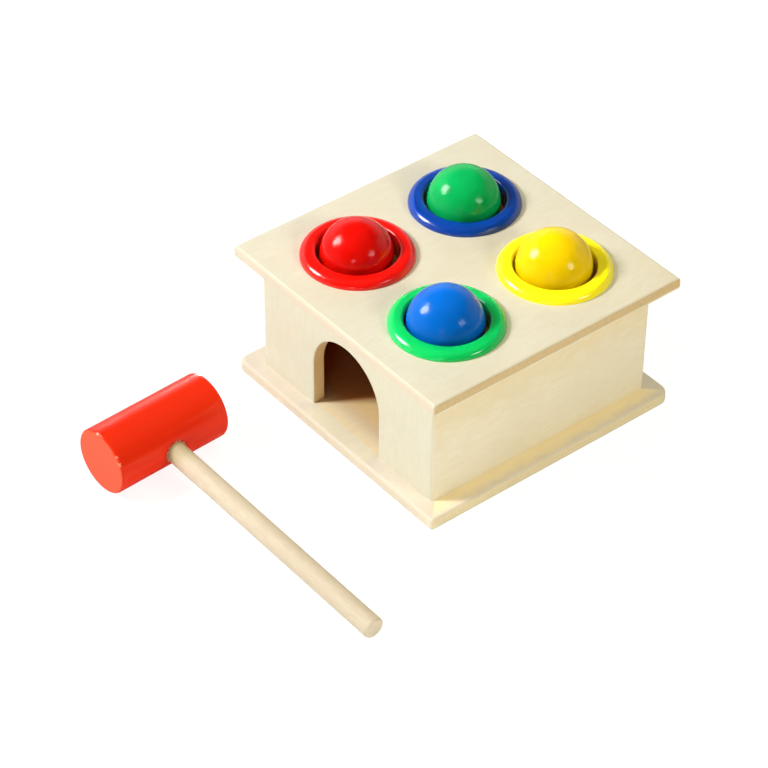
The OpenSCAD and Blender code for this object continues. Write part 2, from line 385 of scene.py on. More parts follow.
ballPaint = {"peelScale": 700.0, "toneShare": 0.35, "rough": 0.13, "scuff": 0.05, "ior": 1.3,
             "bump": 0.5, "bumpDepth": 0.22 * mm}
ringPlastic = {"peelScale": 500.0, "toneShare": 0.2, "rough": 0.15, "scuff": 0.06, "ior": 1.55,
               "bump": 0.06, "bumpDepth": 0.05 * mm}
gripRubber = {"peelScale": 1500.0, "toneShare": 0.6, "rough": 0.7, "scuff": 0.15, "ior": 1.4,
              "bump": 0.5, "bumpDepth": 0.1 * mm}
ballColours = {
    "red": ((0.465, 0.0025, 0.0008), (0.40, 0.002, 0.0006)),
    "green": ((0.0016, 0.285, 0.06), (0.0012, 0.238, 0.05)),
    "yellow": ((0.61, 0.415, 0.0006), (0.56, 0.37, 0.0005)),
    "blue": ((0.0008, 0.09, 0.39), (0.0006, 0.073, 0.35)),
}
ringColours = {
    "red": ((0.67, 0.0042, 0.0016), (0.60, 0.0033, 0.0012)),
    "blue": ((0.0016, 0.039, 0.28), (0.0012, 0.032, 0.24)),
    "yellow": ((0.95, 0.83, 0.006), (0.92, 0.78, 0.004)),
    "green": ((0.002, 0.48, 0.092), (0.0016, 0.42, 0.078)),
}
ballSkins, ringSkins = {}, {}
for step, colour in enumerate(ballColours):
    ballSkins[colour] = skinMaterial(colour + "BallPaint", ballPaint, 11.0 + step, *ballColours[colour])
    ringSkins[colour] = skinMaterial(colour + "RingPlastic", ringPlastic, 21.0 + step, *ringColours[colour])
gripSkin = skinMaterial("gripRubber", gripRubber, 31.0, (0.60, 0.21, 0.065), (0.46, 0.15, 0.045))
print("materials built")


# Meshes
def weld(bm, mesh):
    bmesh.ops.remove_doubles(bm, verts=bm.verts, dist=0.001 * mm)
    bmesh.ops.recalc_face_normals(bm, faces=bm.faces)
    bm.to_mesh(mesh)
    bm.free()
    return mesh


def openMesh(mesh):
    bm = bmesh.new()
    bm.from_mesh(mesh)
    return bm


def place(name, mesh):
    piece = bpy.data.objects.new(name, mesh)
    scene.collection.objects.link(piece)
    return piece


def placeDrawn(name, bm):
    return place(name, weld(bm, bpy.data.meshes.new(name)))


# Replaces a piece's mesh with what its modifiers make of it
def settle(piece):
    depsgraph = bpy.context.evaluated_depsgraph_get()
    made = bpy.data.meshes.new_from_object(piece.evaluated_get(depsgraph), depsgraph=depsgraph)
    piece.modifiers.clear()
    piece.data = made
    return piece


# Smooth shading that keeps flat faces flat beside their rounded edges
def smooth(piece, sharpFrom=40.0):
    piece.data.shade_smooth()
    piece.data.set_sharp_from_angle(angle=math.radians(sharpFrom))
    weighted = piece.modifiers.new("evenNormals", "WEIGHTED_NORMAL")
    weighted.keep_sharp = True
    return settle(piece)


# Grain coordinates: X along the fibres
def setGrain(piece, toGrain, endGrainOf=None):
    layer = piece.data.attributes.new("grainCo", "FLOAT_VECTOR", "CORNER")
    for polygon in piece.data.polygons:
        turned = endGrainOf and endGrainOf(polygon) or toGrain
        for loop in polygon.loop_indices:
            layer.data[loop].vector = turned @ piece.data.vertices[piece.data.loops[loop].vertex_index].co


def hand(piece, body, slotName, *nodes):
    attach(piece, body)
    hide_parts(*nodes)


def centreOf(node):
    low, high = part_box(node)
    return (low + high) / 2


# Points along an arc, with start and sweep in degrees
def arc(x, y, radius, start, sweep, steps):
    angles = [math.radians(start + sweep * i / steps) for i in range(steps + 1)]
    return [(x + radius * math.cos(angle), y + radius * math.sin(angle)) for angle in angles]


# Faces between two closed rows of points, either of which may be a single point
def bridge(bm, lower, upper):
    count = max(len(lower), len(upper))
    for i in range(count):
        j = (i + 1) % count
        corners = [lower[i % len(lower)], lower[j % len(lower)],
                   upper[j % len(upper)], upper[i % len(upper)]]
        bm.faces.new(list(dict.fromkeys(corners)))


def lathe(profile, steps, wobble=None):
    bm = bmesh.new()
    rows = []
    for radius, height in profile:
        if radius <= 0:
            rows.append([bm.verts.new((0, 0, height))])
            continue
        row = []
        for i in range(steps):
            angle = math.tau * i / steps
            r = radius + (wobble(radius, height, angle) if wobble else 0.0)
            row.append(bm.verts.new((r * math.cos(angle), r * math.sin(angle), height)))
        rows.append(row)
    for lower, upper in zip(rows, rows[1:]):
        bridge(bm, lower, upper)
    return bm


def cutWith(piece, cutter):
    cut = piece.modifiers.new("cut", "BOOLEAN")
    cut.operation = "DIFFERENCE"
    cut.solver = "EXACT"
    cut.object = cutter
    settle(piece)
    bpy.data.objects.remove(cutter)
    bm = openMesh(piece.data)
    bmesh.ops.remove_doubles(bm, verts=bm.verts, dist=0.002 * mm)
    bmesh.ops.dissolve_degenerate(bm, edges=bm.edges, dist=0.002 * mm)
    bm.to_mesh(piece.data)
    bm.free()


# Boards: outlines are functions of how far they are drawn in
boards = {
    "ease": 1.5 * mm, "easeSteps": 6, "holeRadius": 20.05 * mm, "holeSteps": 96, "cornerSteps": 8,
    "topCorners": (0.6, 1.4, 0.6, 1.2),      # mm, from +X +Y and on against the clock
    "baseCorners": (5.6, 3.0, 4.6, 1.3),
}
boardGrain = Matrix(((0, 1, 0, 0), (1, 0, 0, 0), (0, 0, 1, 0), (0, 0, 0, 1)))


def squareOutline(half, corners, steps):
    def drawn(inset):
        points = []
        for k, (sx, sy) in enumerate(((1, 1), (-1, 1), (-1, -1), (1, -1))):
            radius = max(corners[k] * mm - inset, 0.1 * mm)
            middle = half - inset - radius
            points += arc(sx * middle, sy * middle, radius, 90 * k, 90, steps)
        return points
    return drawn


def roundHole(middle, radius, steps):
    def drawn(inset):
        return arc(middle.x, middle.y, radius + inset, 0, 360, steps)[:-1]
    return drawn


def plate(name, loops, low, high, spec):
    ease = spec["ease"]
    eased = arc(ease, ease, ease, 270, -90, spec["easeSteps"])
    levels = [(inset, low + rise) for inset, rise in eased] + \
             [(inset, high - rise) for inset, rise in reversed(eased)]
    bm = bmesh.new()
    caps = [[], []]
    for drawn in loops:
        rows = [[bm.verts.new((x, y, z)) for x, y in drawn(inset)] for inset, z in levels]
        for lower, upper in zip(rows, rows[1:]):
            bridge(bm, lower, upper)
        for cap, row in zip(caps, (rows[0], rows[-1])):
            cap += [bm.edges.get(pair) for pair in zip(row, row[1:] + row[:1])]
    for cap in caps:
        bmesh.ops.triangle_fill(bm, edges=cap, use_beauty=True)
    return placeDrawn(name, bm)


def dressBoard(piece, low, material, node):
    piece.data.materials.append(material)
    smooth(piece)
    setGrain(piece, Matrix.Translation((0, 0, -low)) @ boardGrain)
    hand(piece, "box", "board_wood", node)


ringPlaces = {colour: "ring_" + colour for colour in ("red", "blue", "yellow", "green")}


def makeTopBoard(spec):
    low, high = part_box("top_board")
    loops = [squareOutline(high.x, spec["topCorners"], spec["cornerSteps"])]
    for node in ringPlaces.values():
        loops.append(roundHole(centreOf(node), spec["holeRadius"], spec["holeSteps"]))
    dressBoard(plate("topBoardPly", loops, low.z, high.z, spec), low.z, topPly, "top_board")


makeTopBoard(boards)
print("top board made")


# Screws under the base, and the pins between walls and top board
fasteners = {
    "screwRadius": 1.5 * mm, "screwHead": 3.0 * mm, "screwLength": 17.0 * mm, "screwTip": 3.0 * mm,
    "screwSunk": 0.3 * mm, "screwAlong": 34.0 * mm, "slotWidth": 0.9 * mm, "slotLength": 3.4 * mm,
    "slotDepth": 1.1 * mm, "threadPitch": 1.3 * mm, "threadRoot": 0.78, "holeGap": 0.06 * mm,
    "screwSteps": 32, "screwHoleSteps": 48,
    "pinRadius": 1.5 * mm, "pinLength": 12.0 * mm, "pinInTop": 4.0 * mm, "pinAlong": 40.0 * mm,
    "pinEase": 0.4 * mm, "flutes": 12, "fluteDepth": 0.12 * mm, "sideMiddle": 55.25 * mm,
    "frontMiddle": 56.75 * mm,
    "steel": (0.50, 0.50, 0.49), "steelDark": (0.36, 0.36, 0.36), "brushScale": 4000.0,
}


# Cross for the screw's driver, standing through the head's face
def crossCutter(reach, half, depth):
    quarter = [(reach, -half), (reach, half), (half, half)]
    outline = []
    for turn in range(4):
        outline += [Matrix.Rotation(math.radians(90 * turn), 2) @ Vector(point) for point in quarter]
    bm = bmesh.new()
    rows = [[bm.verts.new((p.x, p.y, z)) for p in outline] for z in (-depth, depth)]
    for row in rows:
        bm.faces.new(row)
    bridge(bm, *rows)
    return placeDrawn("slotCutter", bm)


def newNodeTree(name, inputs):
    tree = bpy.data.node_groups.new(name, "GeometryNodeTree")
    tree.interface.new_socket("Geometry", in_out="INPUT", socket_type="NodeSocketGeometry")
    for label, kind in inputs.items():
        tree.interface.new_socket(label, in_out="INPUT", socket_type="NodeSocket" + kind)
    tree.interface.new_socket("Material", in_out="INPUT", socket_type="NodeSocketMaterial")
    tree.interface.new_socket("Geometry", in_out="OUTPUT", socket_type="NodeSocketGeometry")
    return tree, tree.nodes.new("NodeGroupInput").outputs


# The end that every tree shares: plain geometry with its material
def endTree(tree, geometry, material):
    real = put(tree, "GeometryNodeRealizeInstances", {0: geometry})[0]
    painted = put(tree, "GeometryNodeSetMaterial", {"Geometry": real, "Material": material})[0]
    put(tree, "NodeGroupOutput", {0: painted})
    return tree


def runTree(name, startMesh, tree, values):
    piece = place(name, startMesh)
    build = piece.modifiers.new("build", "NODES")
    build.node_group = tree
    for item in tree.interface.items_tree:
        if item.in_out == "INPUT" and item.name in values:
            build[item.identifier] = values[item.name]
    settle(piece)
    weld(openMesh(piece.data), piece.data)
    return piece


# One fastener repeated on the corners of a rectangle, or of two that cross
def makeFastenerGrid():
    tree, given = newNodeTree("fastenerGrid", {
        "Spread X": "Float", "Spread Y": "Float", "Cross X": "Float", "Cross Y": "Float",
        "Height": "Float", "Crossed": "Bool"})
    grids = []
    for name in ("Spread", "Cross"):
        grids.append(put(tree, "GeometryNodeMeshGrid", {
            "Size X": given[name + " X"], "Size Y": given[name + " Y"],
            "Vertices X": 2, "Vertices Y": 2})[0])
    both = put(tree, "GeometryNodeJoinGeometry", {0: grids[0]})
    tree.links.new(grids[1], both[0].node.inputs[0])
    chosen = put(tree, "GeometryNodeSwitch", {"Switch": given["Crossed"], "False": grids[0],
                                              "True": both[0]}, input_type="GEOMETRY")[0]
    spot = put(tree, "ShaderNodeCombineXYZ", {2: given["Height"]})[0]
    lifted = put(tree, "GeometryNodeTransform", {"Geometry": chosen, "Translation": spot})[0]
    copies = put(tree, "GeometryNodeInstanceOnPoints", {"Points": lifted, "Instance": given["Geometry"]})
    return endTree(tree, copies[0], given["Material"])


def steelMaterial(name, spec):
    material, tree, surface = newMaterial(name)
    where = put(tree, "ShaderNodeTexCoord")["Object"]
    brushed = cloud(stretch(where, (1, 0.08, 1)), spec["brushScale"], 3, 0.6)
    feed(surface, {"Base Color": mixColour(brushed, spec["steel"], spec["steelDark"]),
                   "Roughness": remap(brushed, 0.2, 0.8, 0.28, 0.45), "Metallic": 1.0,
                   "Normal": bumped(brushed, 0.05 * mm, 0.2)})
    return material


def screwMesh(spec):
    r, head, length, tip = (spec[k] for k in ("screwRadius", "screwHead", "screwLength", "screwTip"))
    pitch, root = spec["threadPitch"], r * spec["threadRoot"]
    profile = [(0, 0), (head * 0.97, 0), (head, 0.05 * mm), (r, head - r)]
    turns = int((length - tip - (head - r)) / pitch)
    for i in range(turns):
        z = head - r + (i + 0.5) * pitch
        profile += [(root, z), (r, z + pitch * 0.35), (root, z + pitch * 0.7)]
    profile += [(r * 0.7, length - tip), (0, length)]
    piece = placeDrawn("screwBlank", lathe(profile, spec["screwSteps"]))
    cutWith(piece, crossCutter(spec["slotLength"] / 2, spec["slotWidth"] / 2, spec["slotDepth"]))
    mesh = piece.data
    bpy.data.objects.remove(piece)
    return mesh


def pinMesh(spec):
    r, length, ease = spec["pinRadius"], spec["pinLength"], spec["pinEase"]
    profile = [(0, 0), (r - ease, 0), (r, ease), (r, length - ease), (r - ease, length), (0, length)]

    def flute(radius, height, angle):
        return -spec["fluteDepth"] * (0.5 + 0.5 * math.cos(spec["flutes"] * angle))
    return weld(lathe(profile, spec["flutes"] * 6, flute), bpy.data.meshes.new("pinBlank"))


fastenerGrid = makeFastenerGrid()
screwSteel = steelMaterial("screwSteel", fasteners)


def makeFasteners(spec):
    across, along = 2 * spec["sideMiddle"], 2 * spec["frontMiddle"]
    screws = runTree("baseScrewSet", screwMesh(spec), fastenerGrid, {
        "Spread X": across, "Spread Y": 2 * spec["screwAlong"], "Height": spec["screwSunk"],
        "Crossed": False, "Material": screwSteel})
    smooth(screws)
    hand(screws, "box", "screw_steel", "base_screws")
    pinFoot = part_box("top_board")[0].z + spec["pinInTop"] - spec["pinLength"]
    pins = runTree("wallPinSet", pinMesh(spec), fastenerGrid, {
        "Spread X": 2 * spec["pinAlong"], "Spread Y": along, "Cross X": across,
        "Cross Y": 2 * spec["pinAlong"], "Height": pinFoot, "Crossed": True, "Material": pinWood})
    smooth(pins)
    setGrain(pins, Matrix(((0, 0, 1, 0), (0, 1, 0, 0), (1, 0, 0, 0), (0, 0, 0, 1))))
    hand(pins, "box", "dowel_wood", "top_dowels")


makeFasteners(fasteners)
print("screws and pins made")


def makeBaseBoard(spec, screws):
    low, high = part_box("base_board")
    outline = squareOutline(high.x, spec["baseCorners"], spec["cornerSteps"])
    piece = plate("baseBoardPly", [outline], low.z, high.z, spec)
    head = screws["screwHead"] + screws["holeGap"]
    shank = screws["screwRadius"] + screws["holeGap"]
    sunk = screws["screwSunk"]
    below, above = -2 * mm, 9 * mm
    profile = [(0, below), (head, below), (head, sunk), (shank, sunk + head - shank),
               (shank, above), (0, above)]
    for sx in (-1, 1):
        for sy in (-1, 1):
            cutter = placeDrawn("screwHole", lathe(profile, screws["screwHoleSteps"]))
            spot = (sx * screws["sideMiddle"], sy * screws["screwAlong"], 0)
            cutter.data.transform(Matrix.Translation(spot))
            cutWith(piece, cutter)
    dressBoard(piece, low.z, basePly, "base_board")


makeBaseBoard(boards, fasteners)
print("base board made")


# Walls, each drawn as the front one and turned into place
walls = {
    "doorWidth": 44.6 * mm, "doorHeight": 44.5 * mm, "doorSteps": 40,
    "doorEase": 0.6 * mm, "corner": 2.0 * mm, "cornerSteps": 8, "jointEase": 0.01 * mm,
}
uprightGrain = Matrix(((0, 0, 1), (1, 0, 0), (0, 1, 0))).to_4x4()
levelGrain = Matrix(((1, 0, 0), (0, 0, 1), (0, 1, 0))).to_4x4()


def wallOutline(half, low, high, door):
    points = [(-half, low)]
    if door:
        radius = door["doorWidth"] / 2
        arch = arc(0, low + door["doorHeight"] - radius, radius, 180, -180, door["doorSteps"])
        points += [(-radius, low), *arch, (radius, low)]
    return points + [(half, low), (half, high), (-half, high)]


def easeEdges(bm, edges, offset, segments):
    live = [edge for edge in edges if edge.is_valid]
    if live:
        bmesh.ops.bevel(bm, geom=live, offset=offset, segments=segments, profile=0.5, affect="EDGES")


def raiseWall(name, outline, out, inside, spec, rounded):
    bm = bmesh.new()
    near = [bm.verts.new((x, -out, z)) for x, z in outline]
    far = [bm.verts.new((x, -inside, z)) for x, z in outline]
    bm.faces.new(near)
    bm.faces.new(list(reversed(far)))
    bridge(bm, far, near)
    bmesh.ops.recalc_face_normals(bm, faces=bm.faces)
    doorEdges = [bm.edges.get((row[i], row[i + 1])) for row in (near, far) for i in range(1, len(row) - 4)]
    uprights = [bm.edges.get((row[-3], row[-2])) for row in (near, far)] + \
               [bm.edges.get((row[-1], row[0])) for row in (near, far)]
    corners = [uprights[0], uprights[2]] if rounded else []
    joints = [edge for edge in uprights if edge not in corners]
    easeEdges(bm, corners, spec["corner"], spec["cornerSteps"])
    easeEdges(bm, joints, spec["jointEase"], 2)
    easeEdges(bm, doorEdges, spec["doorEase"], 4)
    return placeDrawn(name, bm)


# The rounded ends of the front and back walls carry the side walls' grain
def cornerGrain(polygon):
    if polygon.material_index != 3:
        return None
    side = 1 if polygon.center.x > 0 else -1
    return Matrix(((0, side, 0), (0, 0, 1), (-side, 0, 0))).to_4x4()


def makeWalls(spec):
    frontLow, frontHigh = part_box("front_wall")
    rightLow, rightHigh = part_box("right_wall")
    wide = (-frontLow.y, -frontHigh.y, frontHigh.x)
    narrow = (rightHigh.x, rightLow.x, rightHigh.y)
    for side, turn, size, door, face in (
            ("front", 0, wide, spec, wallPly), ("right", 90, narrow, None, sidePly),
            ("back", 180, wide, None, wallPly), ("left", 270, narrow, None, sidePly)):
        name = side + "WallPly"
        out, inside, half = size
        rounded = face is wallPly
        outline = wallOutline(half, frontLow.z, frontHigh.z, door)
        piece = raiseWall(name, outline, out, inside, spec, rounded)
        for material in (face, cutPly, innerPly, sidePly):
            piece.data.materials.append(material)
        # Inner faces take painted shade; rounded corners take the side walls' painted-light copy; the
        # door's cut edge takes end grain
        for polygon in piece.data.polygons:      # inner face, rounded corner, door's cut edge
            facing = polygon.normal
            if facing.y > 0.9:
                polygon.material_index = 2
            elif abs(polygon.center.x) > half - spec["corner"] and abs(facing.x) > 0.6:
                polygon.material_index = 3
            elif door and facing.y > -0.4 and abs(facing.z) < 0.999:
                polygon.material_index = 1
        smooth(piece)
        setGrain(piece, uprightGrain if rounded else levelGrain, cornerGrain)
        piece.data.transform(Matrix.Rotation(math.radians(turn), 4, "Z"))
        hand(piece, "box", "wall_wood", side + "_wall")


makeWalls(walls)
print("walls made")


# Rings and grips: a closed section swept round the hole
rings = {
    "throat": 18.0 * mm, "outer": 25.0 * mm, "bead": 3.5 * mm, "lip": 1.4 * mm, "beadSteps": 16,
    "sleeve": 2.0 * mm, "ledge": 16.9 * mm, "ledgeThick": 0.9 * mm, "barb": 0.7 * mm, "around": 144,
    "gripInner": 15.3 * mm, "gripThick": 2.0 * mm, "gripEase": 0.3 * mm, "gripSteps": 4, "gap": 0.05 * mm,
    "gripNodes": {"red": "grip_left_front", "blue": "grip_left_back",
                  "yellow": "grip_right_back", "green": "grip_right_front"},
}


def makeSectionSweep():
    tree, given = newNodeTree("sectionSweep", {"Path Radius": "Float", "Around": "Int", "Centre": "Vector"})
    section = put(tree, "GeometryNodeMeshToCurve", {0: given["Geometry"]})[0]
    path = put(tree, "GeometryNodeCurvePrimitiveCircle", {"Resolution": given["Around"],
                                                          "Radius": given["Path Radius"]})[0]
    swept = put(tree, "GeometryNodeCurveToMesh", {"Curve": path, "Profile Curve": section})[0]
    moved = put(tree, "GeometryNodeTransform", {"Geometry": swept, "Translation": given["Centre"]})[0]
    return endTree(tree, moved, given["Material"])


sectionSweep = makeSectionSweep()


def sectionMesh(points):
    mesh = bpy.data.meshes.new("section")
    edges = [(i, (i + 1) % len(points)) for i in range(len(points))]
    mesh.from_pydata([(r, z, 0) for r, z in points], edges, [])
    return mesh


# Over the bead from outside to inside, down the throat to the ledge, and back up the sleeve
def ringSection(spec, boardThick, ledgeTop):
    throat, bead, lip = spec["throat"], spec["bead"], spec["lip"]
    foot = ledgeTop - spec["ledgeThick"]
    sleeve = throat + spec["sleeve"]
    under = -boardThick - spec["gap"]
    return arc(spec["outer"] - bead, 0, bead, 0, 90, spec["beadSteps"]) + \
        arc(throat + lip, bead - lip, lip, 90, 90, spec["beadSteps"]) + [
            (throat, ledgeTop), (spec["ledge"], ledgeTop), (spec["ledge"], foot), (sleeve, foot),
            (sleeve + spec["barb"], under), (sleeve, under), (sleeve, 0)]


def gripSection(spec, top):
    soft, low = spec["gripEase"], top - spec["gripThick"]
    inner, outer = spec["gripInner"] + soft, spec["throat"] - spec["gap"] - soft
    points = []
    for r, z, start in ((inner, top - soft, 90), (inner, low + soft, 180),
                        (outer, low + soft, 270), (outer, top - soft, 360)):
        points += arc(r, z, soft, start, 90, spec["gripSteps"])
    return points


def makeRings(spec):
    boardLow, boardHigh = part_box("top_board")
    path = spec["throat"]
    for colour, ringNode in ringPlaces.items():
        gripNode = spec["gripNodes"][colour]
        spot = centreOf(ringNode)
        spot.z = boardHigh.z
        gripLow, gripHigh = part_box(gripNode)
        bead = ringSection(spec, boardHigh.z - boardLow.z, gripLow.z - boardHigh.z - spec["gap"])
        collar = gripSection(spec, gripHigh.z - boardHigh.z)
        for name, section, skin, sharpFrom, slotName, node in (
                ("RingBead", bead, ringSkins[colour], 50, "ring_" + colour, ringNode),
                ("GripRubber", collar, gripSkin, 40, "grip_rubber", gripNode)):
            start = sectionMesh([(r - path, -z) for r, z in section])
            piece = runTree(colour + name, start, sectionSweep, {
                "Path Radius": path, "Around": spec["around"], "Centre": spot, "Material": skin})
            smooth(piece, sharpFrom)
            hand(piece, "box", slotName, node)


makeRings(rings)
print("rings and grips made")


# Balls: turned wood, a little out of round under the paint
balls = {
    "detail": 7, "uneven": 0.07 * mm, "unevenScale": 90.0, "lean": Vector((-0.35, -0.35, 0)) * mm,
    "girth": {"red": 0.965, "green": 0.985, "yellow": 1.01, "blue": 1.01},
    "lift": {"red": 0.0, "green": 0.5 * mm, "yellow": 1.0 * mm, "blue": 0.1 * mm},
}


def makeTurnedBall():
    tree, given = newNodeTree("turnedBall", {
        "Radius": "Float", "Detail": "Int", "Uneven": "Float", "Uneven Scale": "Float", "Seed": "Float",
        "Centre": "Vector"})
    ball = put(tree, "GeometryNodeMeshIcoSphere", {"Radius": given["Radius"],
                                                   "Subdivisions": given["Detail"]})[0]
    dents = put(tree, "ShaderNodeTexNoise", {"W": given["Seed"], "Scale": given["Uneven Scale"],
                                             "Detail": 1.0}, noise_dimensions="4D")[0]
    inward = times(times(dents, given["Uneven"]), -1.0)
    normal = put(tree, "GeometryNodeInputNormal")[0]
    offset = put(tree, "ShaderNodeVectorMath", {0: normal, "Scale": inward}, operation="SCALE")[0]
    dented = put(tree, "GeometryNodeSetPosition", {"Geometry": ball, "Offset": offset})[0]
    moved = put(tree, "GeometryNodeTransform", {"Geometry": dented, "Translation": given["Centre"]})[0]
    return endTree(tree, moved, given["Material"])


turnedBall = makeTurnedBall()


def makeBalls(spec):
    for step, colour in enumerate(ballColours):
        low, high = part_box("ball_" + colour)
        ball = runTree(colour + "BallPaint", bpy.data.meshes.new("ballStart"), turnedBall, {
            "Radius": spec["girth"][colour] * (high.z - low.z) / 2, "Detail": spec["detail"],
            "Uneven": spec["uneven"], "Uneven Scale": spec["unevenScale"], "Seed": 40.0 + step,
            "Centre": (low + high) / 2 + spec["lean"] + Vector((0, 0, spec["lift"][colour])),
            "Material": ballSkins[colour]})
        ball.data.shade_smooth()
        hand(ball, colour + "_ball", "paint_" + colour, "ball_" + colour)


makeBalls(balls)
print("balls made")


# Hammer, in its own frame: head along Y, handle along +X
hammer = {
    "place": (-40.6 * mm, -130.8 * mm), "turn": 2.6,
    "headRadius": 15.0 * mm, "headLength": 57.0 * mm, "headEase": 1.2 * mm, "headSteps": 192,
    "headRows": 36, "headFlat": 10, "socketSteps": 96,
    "headDents": 0.08 * mm, "dentSize": 9 * mm,
    "handleRadius": 4.8 * mm, "handleReach": 142.0 * mm, "handleEase": 1.0 * mm, "handleSteps": 64,
    "handleRows": 48, "handleFlat": 5,
    "shavings": 0.06 * mm, "shavingLength": 40 * mm, "endGrainDepth": 0.35 * mm,
    "socketDepth": 24.0 * mm, "socketGap": 0.05 * mm, "socketRoom": 0.2 * mm,
    "paint": (0.81, 0.028, 0.0055), "paintDeep": (0.75, 0.021, 0.0045), "sheen": (1.0, 1.0, 0.78),
    "struck": (0.83, 0.107, 0.046), "bare": (0.84, 0.46, 0.32), "stain": (0.36, 0.02, 0.008),
    "peelScale": 420.0, "seed": 51.0, "frayScale": 1100.0, "toneShare": 0.5, "chipShare": 0.6,
    "stainShare": 0.6, "speckShare": 0.5, "roughLow": 0.17, "roughHigh": 0.25, "ior": 1.38,
    "bump": 0.2, "bumpDepth": 0.06 * mm, "chipDepth": 3.0,
    "chips": ((100.0, 1.0 * mm), (45.0, 0.7 * mm), (32.0, 0.9 * mm)),      # degrees round the rim, size
}


def hammerFrame(spec):
    reach, thin, thick = spec["handleReach"], spec["handleRadius"], spec["headRadius"]
    tilt = math.asin(thick / math.hypot(reach, thin)) - math.atan(thin / reach)
    return Matrix.Translation((*spec["place"], thick)) @ \
        Matrix.Rotation(math.radians(spec["turn"]), 4, "Z") @ Matrix.Rotation(tilt, 4, "Y")


def easedProfile(radius, length, ease, rows, flat, steps=6):
    profile = [(0, 0)] + [((radius - ease) * i / flat, 0) for i in range(1, flat)]
    profile += arc(radius - ease, ease, ease, 270, 90, steps)
    profile += [(radius, ease + (length - 2 * ease) * i / rows) for i in range(1, rows)]
    return profile + [(r, length - z) for r, z in reversed(profile[:flat + steps + 1])]


# Paint with chips on one rim, a ragged edge round the handle, and a painted reflection that makes the end
# faces paler
def hammerMaterial(name, spec):
    material, tree, surface = newMaterial(name)
    where = put(tree, "ShaderNodeAttribute", attribute_name="headCo")["Vector"]
    skin = useGroup(paintSkin, where, spec)
    radius, halfLength = spec["headRadius"], spec["headLength"] / 2
    tone = mixColour(times(skin["Tone"], spec["toneShare"]), spec["paint"], spec["paintDeep"])
    axes = put(tree, "ShaderNodeSeparateXYZ", {0: where})
    fray = cloud(where, spec["frayScale"], 4, 0.65, spec["seed"] + 1)
    fromEnd = minus(halfLength, absolute(axes[1]))
    # Painted reflection: the end faces are made paler
    struck = times(remap(fromEnd, 0.4 * mm, 0.12 * mm), remap(fray, 0.1, 0.6, 0.8, 1.0))
    tone = mixColour(struck, tone, spec["struck"])

    fromSide = minus(radius, measure("LENGTH", stretch(where, (1, 0, 1))))
    nearRim = remap(largest(fromEnd, fromSide), 1.5 * mm, 0.5 * mm)
    chip = 0.0
    for angle, size in spec["chips"]:
        turn = math.radians(angle)
        away = measure("DISTANCE", where, (radius * math.cos(turn), -halfLength, radius * math.sin(turn)))
        frayed = plus(away, remap(fray, 0.3, 0.7, -0.9 * mm, 0.9 * mm))
        chip = largest(chip, remap(frayed, size + 0.2 * mm, size - 0.2 * mm))
    chip = times(chip, nearRim)
    tone = mixColour(times(chip, spec["chipShare"]), tone, spec["bare"])

    band = minus(measure("LENGTH", stretch(where, (0, 1, 1))), spec["handleRadius"])
    front = calc("GREATER_THAN", axes[0], 0.0)
    ragged = plus(band, remap(fray, 0.3, 0.7, -0.7 * mm, 0.7 * mm))
    stain = times(remap(ragged, 1.5 * mm, 0.7 * mm), front)
    tone = mixColour(times(stain, spec["stainShare"]), tone, spec["stain"])
    speck = times(remap(ragged, 0.55 * mm, 0.25 * mm), front)
    tone = mixColour(times(speck, spec["speckShare"]), tone, spec["bare"])
    height = minus(skin["Height"], times(largest(chip, speck), spec["chipDepth"]))
    feed(surface, {"Base Color": tone, "IOR": spec["ior"], "Specular Tint": spec["sheen"],
                   "Roughness": remap(skin["Scuff"], 0.0, 1.0, spec["roughLow"], spec["roughHigh"]),
                   "Normal": bumped(height, spec["bumpDepth"], spec["bump"])})
    return material


def makeHead(spec, toWorld):
    radius, length = spec["headRadius"], spec["headLength"]

    def dents(r, height, angle):
        spot = Vector((r * math.cos(angle), r * math.sin(angle), height)) / spec["dentSize"]
        return -spec["headDents"] * (0.5 + 0.5 * noise.noise(spot))

    profile = easedProfile(radius, length, spec["headEase"], spec["headRows"], spec["headFlat"])
    head = placeDrawn("hammerHeadPaint", lathe(profile, spec["headSteps"], dents))
    head.data.transform(Matrix.Rotation(math.radians(90), 4, "X") @ Matrix.Translation((0, 0, -length / 2)))
    bottom, mouth = radius - spec["socketDepth"], radius + 2 * mm
    bore = spec["handleRadius"] + spec["socketGap"]
    drill = [(0, bottom), (bore, bottom), (bore, mouth), (0, mouth)]
    cutter = placeDrawn("socketCutter", lathe(drill, spec["socketSteps"]))
    cutter.data.transform(Matrix.Rotation(math.radians(90), 4, "Y"))
    cutWith(head, cutter)
    head.data.transform(toWorld)
    head.data.materials.append(hammerMaterial("hammerPaint", spec))
    smooth(head, 50)
    toHead = toWorld.inverted()
    layer = head.data.attributes.new("headCo", "FLOAT_VECTOR", "POINT")
    for vertex, value in zip(head.data.vertices, layer.data):
        value.vector = toHead @ vertex.co
    hand(head, "hammer", "hammer_paint", "hammer_head")


def makeHandle(spec, toWorld):
    start = spec["headRadius"] - spec["socketDepth"] + spec["socketRoom"]

    def shaved(r, height, angle):
        spot = Vector((math.cos(angle), math.sin(angle), height / spec["shavingLength"])) * 1.7
        return -spec["shavings"] * (0.5 + 0.5 * noise.noise(spot))

    profile = easedProfile(spec["handleRadius"], spec["handleReach"] - start, spec["handleEase"],
                           spec["handleRows"], spec["handleFlat"])
    handle = placeDrawn("hammerHandleDowel", lathe(profile, spec["handleSteps"], shaved))
    lying = Matrix.Translation((start, 0, 0)) @ Matrix.Rotation(math.radians(90), 4, "Y")
    handle.data.transform(toWorld @ lying)
    for material in (handleWood, handleEnd):
        handle.data.materials.append(material)
    toHead = toWorld.inverted()
    for polygon in handle.data.polygons:
        along = toHead @ polygon.center
        polygon.material_index = int(along.x > spec["handleReach"] - spec["endGrainDepth"])
    smooth(handle)
    setGrain(handle, toHead)
    hand(handle, "hammer", "dowel_wood", "hammer_handle")


makeHead(hammer, hammerFrame(hammer))
makeHandle(hammer, hammerFrame(hammer))
print("hammer made")


